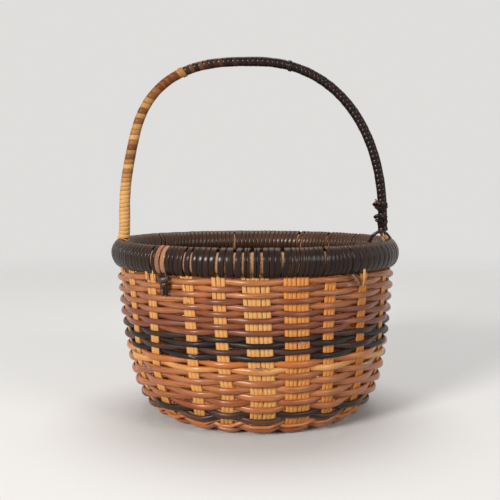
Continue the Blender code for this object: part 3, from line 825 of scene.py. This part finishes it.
def half_stave(end, level):
    """Middles and out directions of a bundle from the top of the wall in to the pad's edge."""
    stave, side = end
    start = LANES[end][3]
    top = RIM_LENGTH + HOOP_HEIGHT / 2 - PIECE_GAP
    lengths = np.linspace(top, EDGE_LENGTH, STRIP_STATIONS, endpoint=False)
    wall, outs = wall_frame(bundle_angle(stave, side, lengths), lengths)
    edge = edge_place(stave, side)
    share = np.linspace(1.0, 0.0, STRIP_STATIONS // 4)[:, None]
    flat = start + (edge - start) * share
    radius = np.linalg.norm(flat, axis=1)
    fan = BASE_RADIUS - PAD_RADIUS
    raised = level * (1 - smooth((radius - PAD_RADIUS - fan / 4) / (fan / 2)))
    height = np.interp(radius, WALL[1][:SECTION_STEPS, 0], WALL[1][:SECTION_STEPS, 1]) + raised
    base = np.column_stack([flat[:, 0] + BASE_LEAN, flat[:, 1], height])
    down = np.broadcast_to((0.0, 0.0, -1.0), base.shape)
    return np.vstack([wall, base]), np.vstack([outs, down])


def stave_shade(stave):
    if stave < len(FRONT_SHADES):
        return FRONT_SHADES[stave]
    return generator(1, stave).uniform(*BACK_SHADES)


def make_staves(material):
    """The strips of each bundle, from rim to rim, in the place of its plain solid."""
    level = (STRIP_THICKNESS + PIECE_GAP) / 2
    lanes = [("front", lane, level) for lane in range(FRONT_LANES)]
    lanes += [("side", lane, -level) for lane in range(SIDE_LANES)]
    for number, (kind, lane, height) in enumerate(lanes):
        random = generator(2, number)
        ends = [end for end, place in LANES.items() if place[:2] == (kind, lane)]
        ends.sort(key=lambda end: LANES[end][2])
        points, outs = half_stave(ends[0], height)
        shades = [stave_shade(ends[0][0]), stave_shade(ends[-1][0])]
        if len(ends) == 2:
            other, other_outs = half_stave(ends[1], height)
            points = np.vstack([points, other[::-1]])
            outs = np.vstack([outs, other_outs[::-1]])
        else:
            tip = points[-1] * (1, -1, 1)
            points = np.vstack([points, tip])
            outs = np.vstack([outs, outs[-1]])
        across = unit(np.cross(np.gradient(points, axis=0), outs))
        blend = np.linspace(shades[0], shades[1], len(points))
        skin = Skin()
        far = np.linalg.norm(points - points[0], axis=1)
        near = np.linalg.norm(points - points[-1], axis=1)
        for strip in range(STRIPS_PER_BUNDLE):
            places = np.linspace(0.0, STRIP_KNOTS, len(points))
            side = strip - (STRIPS_PER_BUNDLE - 1) / 2
            shift = side * STRIP_SPACING + STRIP_WANDER / 2 * wander(places, random)
            for reach in (far, near):
                splay = STRIP_SPLAY * max(random.uniform(-1.0, 1.0), 0.0)
                shift += side * splay * np.exp(-((reach / SPLAY_LENGTH) ** 2))
            level_wander = STRIP_WANDER / 2 * wander(places, random)
            middle = points + across * shift[:, None] + outs * level_wander[:, None]
            wide = STRIP_WIDTH / 2 * (STRIP_FULLNESS + STRIP_SWELL * wander(places, random))
            tone = random.uniform(-STRIP_TONE, STRIP_TONE) + STRIP_TONE_CHANGE * wander(places, random)
            skin.strand(middle, outs, wide, SEEN_THICKNESS / 2, STRIP_SHARES, tone, blend)
        direction = "front_to_back" if kind == "front" else "side_to_side"
        skin.piece(
            f"strips_{direction}_{lane + 1}", material, "strip_straw", f"stave_{direction}_{lane + 1}"
        )


def weave(
    skin, first, last, reed, random, shades, deep=REED_DEEP, facing=1, twist=0.0, dip=0.0,
    ends=(TAIL_IN, TAIL_OUT),
):
    """One reed, so deep from front to back, from the first passing to the last: outside the even
    staves, or the odd ones where facing is -1. Its shades are the first, the last and what the odd
    rounds add. A twist lifts it where it goes in and lowers it where it comes out, and a dip lowers
    it outside the staves."""
    start = first - ends[0]
    stop = last + ends[1]
    places = np.linspace(start, stop, int((stop - start) * REED_STATIONS) + 1)
    angle = np.interp(places, CROSSINGS, CROSSING_ANGLES)
    length = np.interp(places, CROSSINGS, CROSSING_LENGTHS)
    passed = np.floor(places).astype(int)
    here = passed - CROSSINGS[0]
    left = CROSSING_ANGLES[here] + FLAT_SHARE * CROSSING_HALVES[here]
    right = CROSSING_ANGLES[here + 1] - FLAT_SHARE * CROSSING_HALVES[here + 1]
    share = np.clip((angle - left) / (right - left), 0.0, 1.0)
    straight = (1 - 2 * share) * (1 - 2 * (passed % 2))
    side = facing * (np.cos(np.pi * (share + passed)) + straight) / 2
    slope = facing * np.sin(np.pi * (share + passed)) * np.where(share < 1, 1, 0)
    deep = min(reed, deep)
    offset = side * ((SEEN_THICKNESS + deep) / 2 + STRIP_WANDER * wander(places, random))
    along = REED_WANDER * wander(places, random) + twist * slope - dip * np.maximum(side, 0)
    for place, rise in BENDS:
        along += rise * np.exp(-(((places - place) / BEND_WIDTH) ** 2))
    points, outs = wall_frame(angle, length, offset, along)
    size = REED_FULLNESS + REED_SWELL * wander(places, random, REED_SWELL_SPACING)
    size[[0, -1]] *= TIP_SHARE
    pitch = (CROSSING_LENGTHS[here + 1] - CROSSING_LENGTHS[here]) * STAVES
    passing = 1 - np.maximum(side, 0) ** 2 if twist == 0 else 0.0
    tall = (reed / 2 + (pitch / 2 + ROW_PRESS - reed / 2) * passing) * size
    tone = REED_TONE * wander(places, random, REED_TONE_SPACING)
    tone = tone + REED_TONE_CHANGE * wander(places, random)
    shade, last_shade, odd_more = shades
    shade = shade + (last_shade - shade) * (places - first) / (last - first)
    # Where the reed goes in behind the staves it is painted darker, as painted shade
    shade = shade + odd_more * ((places // STAVES) % 2) + PAINTED_INSIDE_SHADE * (1 - side) / 2
    skin.strand(points, outs, tall, deep / 2 * size, circle(REED_SIDES), tone, shade)


def make_weavers(finishes):
    crossing = 0
    for number, (weaver, count) in enumerate(zip(WEAVERS, crossing_counts())):
        name, _, reed, _, finish, slot, shades = weaver
        first = crossing
        last = crossing + count - 1
        skin = Skin()
        random = generator(3, number)
        if name == "foot_weaver":
            for facing in (1, -1):
                weave(
                    skin, first, last, FOOT_REED, random, shades,
                    facing=facing, twist=TWIST_RISE, dip=FOOT_DIP, ends=(0.0, 1.0),
                )
        elif name == "base_weaver":
            inner = first - INNER_ROUNDS * STAVES + 1
            weave(skin, inner, last, reed * MM, random, shades, deep=BASE_REED_DEEP)
        else:
            weave(skin, first, last, reed * MM, random, shades)
        skin.piece(name.replace("weaver", "reed"), finishes[finish], slot, name)
        crossing += count


def rim_frame(angle, turn, out_reach, along_reach):
    """Places round the middle of the rim's section, and the directions out of it."""
    power = np.where(np.sin(turn) > 0, RIM_SHOULDER, 1.0)
    beside = np.sign(np.cos(turn)) * np.abs(np.cos(turn)) ** power
    length = np.full(len(angle), RIM_LENGTH)
    points, _ = wall_frame(angle, length, out_reach * beside, along_reach * np.sin(turn))
    middle, _ = wall_frame(angle, length)
    return points, unit(points - middle)


def make_hoops(material):
    angle = np.linspace(0.0, 2 * np.pi, HOOP_STATIONS, endpoint=False)
    length = np.full(HOOP_STATIONS, RIM_LENGTH)
    for name, facing in (("outer_hoop", 1), ("inner_hoop", -1)):
        points, outs = wall_frame(angle, length, facing * (HOOP_GAP + HOOP_THICKNESS) / 2)
        tone = wander(np.linspace(0.0, HOOP_KNOTS, HOOP_STATIONS), generator(4, facing + 1))
        skin = Skin()
        skin.strand(
            points, outs * facing, HOOP_HEIGHT / 2, HOOP_THICKNESS / 2, dome(REED_SIDES), tone,
            HOOP_SHADE, closed=True,
        )
        skin.piece(f"{name}_band", material, "hoop_tan", name)


def lashing_edges(random):
    """Angles of the left and the right edge of each turn, at the bottom and at the top of the
    outer face. Between two marks the turns fill the hoops evenly. A lean is how far the top of the
    turns lies to the right."""
    face = RIM_RADIUS + HOOP_GAP / 2 + HOOP_THICKNESS
    ends = [(angle, 0.0, 0.0, 0.0) for angle in (LASHING_START, LASHING_START + 360.0)]
    marks = (np.array([ends[0], *LASHING_MARKS, ends[1]]) * (1.0, MM, MM, MM)).tolist()
    edges = []
    for left, right in zip(marks, marks[1:]):
        first, first_top, first_bottom, first_lean = left
        last, last_top, last_bottom, last_lean = right
        width = TURN_WIDTH
        for place, spread, other in OTHER_WIDTHS:
            away = (first + last) / 2 - place
            width += (other - TURN_WIDTH) * math.exp(-((away / spread) ** 2))
        count = max(1, round(math.radians(last - first) * face / width))
        share = np.linspace(0.0, 1.0, count + 1)
        slants = random.uniform(-1, 1, (2, count + 1)) * LASHING_WANDER * (share * (1 - share) > 0)
        gaps = ((first_bottom, last_bottom, 0.0, 0.0), (first_top, last_top, first_lean, last_lean))
        sides = []
        for slant, (first_gap, last_gap, left_lean, right_lean) in zip(slants, gaps):
            start = math.radians(first) + (first_gap / 2 + left_lean) / face
            stop = math.radians(last) + (right_lean - last_gap / 2) / face
            places = start + (stop - start) * share + slant / face
            sides += [places[:-1], places[1:]]
        edges.append(np.column_stack(sides))
    return np.vstack([*edges, edges[0][:1] + 2 * math.pi])


def make_lashing(material):
    """The flat strip round both hoops: across the outer face, going over to the next turn on the
    way over the top and down the inside."""
    random = generator(5)
    edges = lashing_edges(random)
    count = len(edges) - 1
    middles = np.degrees(edges.mean(axis=1))
    lights = (middles > LIGHT_FROM) & (middles < LIGHT_TO)
    place = np.arange(count * TURN_STATIONS) / TURN_STATIONS
    here = place.astype(int)
    share = place - here
    turn = 2 * np.pi * share - np.pi / 2
    risen = np.where(share < 1 / 2, (np.sin(turn) + 1) / 2, 1.0)
    passing = smooth((share - PASSING_FROM) / (1 - PASSING_FROM)) * (here < count - 1)
    low = edges[:, :2]
    high = edges[:, 2:]
    sides = low[here] + (high[here] - low[here]) * risen[:, None]
    sides = sides + (low[here + 1] - sides) * passing[:, None]
    angle = sides.mean(axis=1)
    lift = LASHING_THICKNESS / 2 + LASHING_THICKNESS / 6 * wander(place, random)
    out_reach = HOOP_GAP / 2 + HOOP_THICKNESS + PIECE_GAP / 3 + lift
    along_reach = HOOP_HEIGHT / 2 + LASHING_GROWTH + lift
    points, outs = rim_frame(angle, turn, out_reach, along_reach)
    local = np.linalg.norm(points[:, :2], axis=1)
    wide = np.diff(sides, axis=1)[:, 0] / 2 * local
    tone = random.uniform(-1, 1, len(edges))[here]
    wear_and_painted_light = WORN_SHARE * (1 + wander(place, random, WORN_SPACING))
    # The tops of the turns are lighter: partly wear, partly painted sheen
    wear_and_painted_light = wear_and_painted_light + TOP_WEAR_AND_SHEEN_SHARE * smooth(np.sin(turn) - np.cos(turn))
    blend = np.where(lights[here], LIGHT_SHADE + LIGHT_CHANGE * tone, wear_and_painted_light)
    skin = Skin()
    skin.strand(points, outs, wide, LASHING_THICKNESS / 2, TURN_SHARES, tone, blend)
    skin.piece("rim_binding", material, "strip_dark_brown", "rim_lashing")


def scrap(skin, places, wide, thick, tone=0.0, blend=0.0, section=STRIP_SHARES):
    """A short end of strip or reed along the wall, its lengths in millimetres: its places are angles,
    depths under the middle of the rim and distances out of the middle of the wall."""
    angle, depth, out = curve(places, SCRAP_STATIONS).T
    points, outs = wall_frame(np.radians(angle), RIM_LENGTH - depth * MM, out * MM)
    shares = np.linspace(0.0, 1.0, SCRAP_STATIONS)
    wide = np.interp(shares, np.linspace(0.0, 1.0, len(wide)), wide) / 2
    skin.strand(points, outs, wide * MM, thick / 2 * MM, section, tone, blend)


def loose_ends(ends, thick):
    skin = Skin()
    for places, wide, shade in ends:
        scrap(skin, places, wide, thick, blend=shade)
    return skin


def make_scraps(dark, straw, reed):
    """The loose ends that show on the wall."""
    skin = loose_ends(TAIL_LAYERS, TAIL_THICKNESS)
    for index in range(TAIL_FIBRES):
        random = generator(7, index)
        angle, depth, reach, swing, out, tone = [random.uniform(*span) for span in TAIL_SPANS]
        swing = math.copysign(swing, angle - TAIL_ANGLE)
        places = ((angle, depth, out), (angle + swing, depth - reach / 2, out + reach / 3))
        scrap(skin, places, FIBRE_TAPER, FIBRE_THICKNESS, tone, TAIL_SHADE)
    skin.piece("lashing_tail", dark, "strip_dark_brown")
    loose_ends(STRAW_ENDS, SCRAP_THICKNESS).piece("strip_ends", straw, "strip_straw")
    skin = loose_ends(BROWN_ENDS, SCRAP_THICKNESS)
    for index, (angle, depth, spread, drop, count, shade) in enumerate(REED_FRAYS):
        random = generator(8, index)
        for _ in range(count):
            across, down, out, reach, fall, bow, end, tone = [random.uniform(*span) for span in FRAY_SPANS]
            start = angle + spread * across
            level = depth + drop * down
            places = (
                (start, level, out - FRAY_SINK),
                (start + reach / 2, level + fall / 2, out + bow),
                (start + reach, level + fall, out + bow * end),
            )
            scrap(skin, places, FIBRE_TAPER, FIBRE_THICKNESS, tone, shade, circle(FIBRE_SIDES))
    skin.piece("reed_frays", reed, "reed_red_brown")


def bow_foot(facing):
    """The middle line of one foot of the bow, from its tongue between the hoops up to where the
    arch starts, a little nearer to the middle than the hoops."""
    radius, height, run, rise = read(WALL, RIM_LENGTH)
    middle = np.array((facing * radius, height))
    up = np.array((facing * run, rise))
    low = middle - up * (HOOP_HEIGHT / 2 - PIECE_GAP)
    high = middle + up * HOOP_HEIGHT / 2
    arch = np.array((BOW_SHIFT + facing * BOW_HALF_SPAN, RIM_CREST + BOW_START))
    reach = (arch[1] - high[1]) / 2
    corners = np.array((high, high + up * reach / 5, arch - (0.0, FOOT_DROP * reach), arch))
    return np.vstack([low, bezier(corners, np.arange(FOOT_STEPS) / FOOT_STEPS)])


def bow_table():
    """The middle line of the bow in the plane y = 0, from its left tongue to its right one."""
    turn = np.pi * (1 - np.linspace(0.0, 1.0, 4 * SECTION_STEPS + 1))
    power = np.where(turn > np.pi / 2, BOW_LEFT_POWER, BOW_RIGHT_POWER)
    level = np.sign(np.cos(turn)) * np.abs(np.cos(turn)) ** (2 / power)
    z = RIM_CREST + BOW_START + BOW_HEIGHT * np.abs(np.sin(turn)) ** (2 / power)
    drawn = DRAWN_IN * np.exp(-(((z - DRAWN_HEIGHT) / DRAWN_LENGTH) ** 2)) * (level < 0)
    arch = np.column_stack([BOW_SHIFT + BOW_HALF_SPAN * level + drawn, z])
    return table_of(np.vstack([bow_foot(-1), arch, bow_foot(1)[::-1]]))


BOW = bow_table()
BOW_LENGTH = BOW[0][-1]


def bow_frame(length, turn, in_plane, front):
    """Places round the bow's middle line, and the directions out of it."""
    x, z, run, rise = read(BOW, length)
    beside = in_plane * np.cos(turn)
    forward = front * np.sin(turn)
    points = np.column_stack([x - rise * beside, -forward, z + run * beside])
    lean = np.cos(turn) / in_plane
    push = np.sin(turn) / front
    return points, unit(np.column_stack([-rise * lean, -push, run * lean]))


def roundness(lengths):
    """0 where the rods are pared to tongues, and 1 where they are round."""
    foot = np.minimum(lengths, BOW_LENGTH - lengths)
    return smooth((foot - ROUND_FROM) / ROUND_BLEND)


def make_rods(material):
    """The two rods of the bow, whose ends are pared to tongues between the hoops."""
    lengths = np.linspace(0.0, BOW_LENGTH, BOW_STATIONS)
    full = roundness(lengths)
    for name, facing in (("outer_bow_rod", 1), ("inner_bow_rod", -1)):
        x, z, run, rise = read(BOW, lengths)
        beside = facing * (ROD_SIZE + PIECE_GAP / 2) / 2 * full
        front = facing * (TONGUE_WIDTH + PIECE_GAP) / 2 * (1 - full)
        points = np.column_stack([x - rise * beside, -front, z + run * beside])
        outs = np.column_stack([-rise, np.zeros(BOW_STATIONS), run])
        wide = (TONGUE_WIDTH + (ROD_SIZE - TONGUE_WIDTH) * full) / 2
        thick = (STRIP_THICKNESS + (ROD_SIZE - STRIP_THICKNESS) * full) / 2
        skin = Skin()
        skin.strand(points, outs, wide, thick, circle(REED_SIDES), 0.0, ROD_SHADE)
        skin.piece(f"{name}_core", material, "hoop_tan", name)


def wind(skin, start, stop, widths, random, shades, growth=(0.0, 0.0)):
    """A flat strip wound round both rods, turn beside turn, from the first of two widths to the
    last. Growth is how much thicker it lies at its start and at its end."""
    edges = [start]
    while edges[-1] < stop:
        width = widths[0] + (widths[1] - widths[0]) * smooth((edges[-1] - start) / (stop - start))
        edges.append(edges[-1] + width * random.uniform(1 - WIDTH_VARIETY, 1 + WIDTH_VARIETY))
    turns = len(edges) - 1
    place = np.arange(0.0, turns, 1 / TURN_STATIONS)
    share = place / turns
    length = np.interp(place, np.arange(turns + 1), edges)
    turn = 2 * np.pi * place - np.pi / 2
    full = roundness(length)
    grow = growth[0] + (growth[1] - growth[0]) * smooth(share)
    lift = WINDING_THICKNESS / 2 + grow + WINDING_THICKNESS / 7 * wander(place, random)
    in_plane = ROD_SIZE + PIECE_GAP / 2 + lift
    front = TONGUE_WIDTH + (ROD_SIZE / 2 + PIECE_GAP - TONGUE_WIDTH) * full + lift
    points, outs = bow_frame(length, turn, in_plane, front)
    swell = WOUND_FULLNESS + WOUND_SWELL * wander(place, random)
    wide = np.repeat(np.diff(edges), TURN_STATIONS) / 2 * swell
    tone = np.repeat(random.uniform(-1, 1, turns), TURN_STATIONS)
    first_shade, last_shade, changed_from, changed_over = shades
    shade = first_shade + (last_shade - first_shade) * smooth((share - changed_from) / changed_over)
    shade = shade * (1 - WOUND_VARIETY / 2 + WOUND_VARIETY * tone)
    skin.strand(points, outs, wide, WINDING_THICKNESS / 2, WOUND_SHARES, tone, shade)


def make_windings(light, dark):
    start = HOOP_HEIGHT + TONGUE_BLEND
    joint = start + JOINT_SHARE * (BOW_LENGTH - 2 * start)
    stop = BOW_LENGTH - start - BARE_FOOT
    random = generator(6)
    skin = Skin()
    widths = (LIGHT_FIRST_WIDTH, LIGHT_LAST_WIDTH)
    wind(skin, HOOP_HEIGHT, joint, widths, random, LIGHT_SHADES, (FOOT_GROWTH, 0.0))
    widths = (JOINT_WIDTH, JOINT_WIDTH)
    growth = (JOINT_GROWTH, JOINT_GROWTH)
    wind(skin, joint, joint + JOINT_LENGTH, widths, random, JOINT_SHADES, growth)
    skin.piece("light_winding", light, "strip_honey", "light_bow_winding")
    skin = Skin()
    wind(skin, joint, stop, (DARK_TURN_WIDTH, DARK_TURN_WIDTH), random, DARK_SHADES)
    for place, width, grow in BOW_TIES:
        length = joint + place * (stop - joint)
        wind(skin, length, length + width, (width, width), random, TIE_SHADES, (grow, grow))
    for places, width, shade in BOW_TIE_ENDS:
        line = curve(np.array(places) * MM, SCRAP_STATIONS)
        front = np.broadcast_to((0.0, -1.0, 0.0), line.shape)
        wide = np.linspace(width, width / 2, SCRAP_STATIONS) / 2 * MM
        skin.strand(line, front, wide, TIE_END_THICKNESS / 2, STRIP_SHARES, 0.0, shade)
    skin.piece("dark_winding", dark, "strip_dark_brown", "dark_bow_winding")


def make_object():
    finishes = {name: grained_finish(name, *look) for name, look in GRAINED_FINISHES.items()}
    finishes |= {name: turn_finish(name, *look) for name, look in TURN_FINISHES.items()}
    make_staves(finishes["straw_strip"])
    make_weavers(finishes)
    make_hoops(finishes["tan_hoop"])
    make_lashing(finishes["lashing_strip"])
    make_scraps(finishes["lashing_strip"], finishes["straw_strip"], finishes["frayed_reed"])
    make_rods(finishes["tan_hoop"])
    make_windings(finishes["light_bow_strip"], finishes["dark_bow_strip"])


def make_camera():
    data = bpy.data.cameras.new("camera")
    data.lens = LENS
    camera = placed("camera", data)
    camera.location = CAMERA_PLACE
    camera.rotation_euler = (math.radians(90 - CAMERA_PITCH), 0.0, 0.0)
    bpy.context.scene.camera = camera


def make_floor():
    """A pale round floor whose far edge fades into the background."""
    mesh = bpy.data.meshes.new("floor")
    rim = [(FLOOR_RADIUS * c, FLOOR_RADIUS * s, 0.0) for c, s in circle(FLOOR_SIDES)]
    mesh.from_pydata(rim, [], [list(range(len(rim)))])
    material = bpy.data.materials.new("floor_paper")
    paper = Graph(material)
    shader = paper.nodes["Principled BSDF"]
    shader.inputs["Roughness"].default_value = FLOOR_ROUGHNESS
    colour = paper.mix(paper.seen_ray(), BOUNCE_COLOUR, FLOOR_COLOUR)
    paper.links.new(colour, shader.inputs["Base Color"])
    place = paper.add("NewGeometry", {}, "Position")
    reach = paper.add("VectorMath", {0: place}, "Value", operation="LENGTH")
    span = {"Value": reach, "From Min": FLOOR_FADE, "From Max": FLOOR_RADIUS}
    fade = paper.add("MapRange", span, "Result", interpolation_type="SMOOTHSTEP")
    clear = paper.add("BsdfTransparent", {})
    blend = paper.add("MixShader", {0: fade, 1: shader.outputs[0], 2: clear})
    paper.links.new(blend, paper.nodes["Material Output"].inputs["Surface"])
    mesh.materials.append(material)
    floor = placed("floor", mesh)


def make_light():
    scene = bpy.context.scene
    scene.world = bpy.data.worlds.new("studio")
    studio = Graph(scene.world)
    lit = studio.nodes["Background"]
    lit.inputs["Color"].default_value = WORLD_COLOUR
    lit.inputs["Strength"].default_value = WORLD_STRENGTH
    seen = studio.add("Background", {"Color": BACKDROP_COLOUR})
    choice = studio.add("MixShader", {0: studio.seen_ray(), 1: lit.outputs[0], 2: seen})
    studio.links.new(choice, studio.nodes["World Output"].inputs["Surface"])
    aim = placed("lamp_aim", None)
    aim.location = (0.0, 0.0, RIM_HEIGHT / 2)
    for name, place, size, power, colour in LAMPS:
        data = bpy.data.lights.new(name, "AREA")
        data.shape = "DISK"
        data.size = size
        data.energy = power
        data.color = colour
        lamp = placed(name, data)
        lamp.location = place
        track = lamp.constraints.new("TRACK_TO")
        track.target = aim
        track.track_axis = "TRACK_NEGATIVE_Z"
        track.up_axis = "UP_Y"
    scene.view_settings.view_transform = "Standard"


make_camera()
make_object()
make_floor()
make_light()
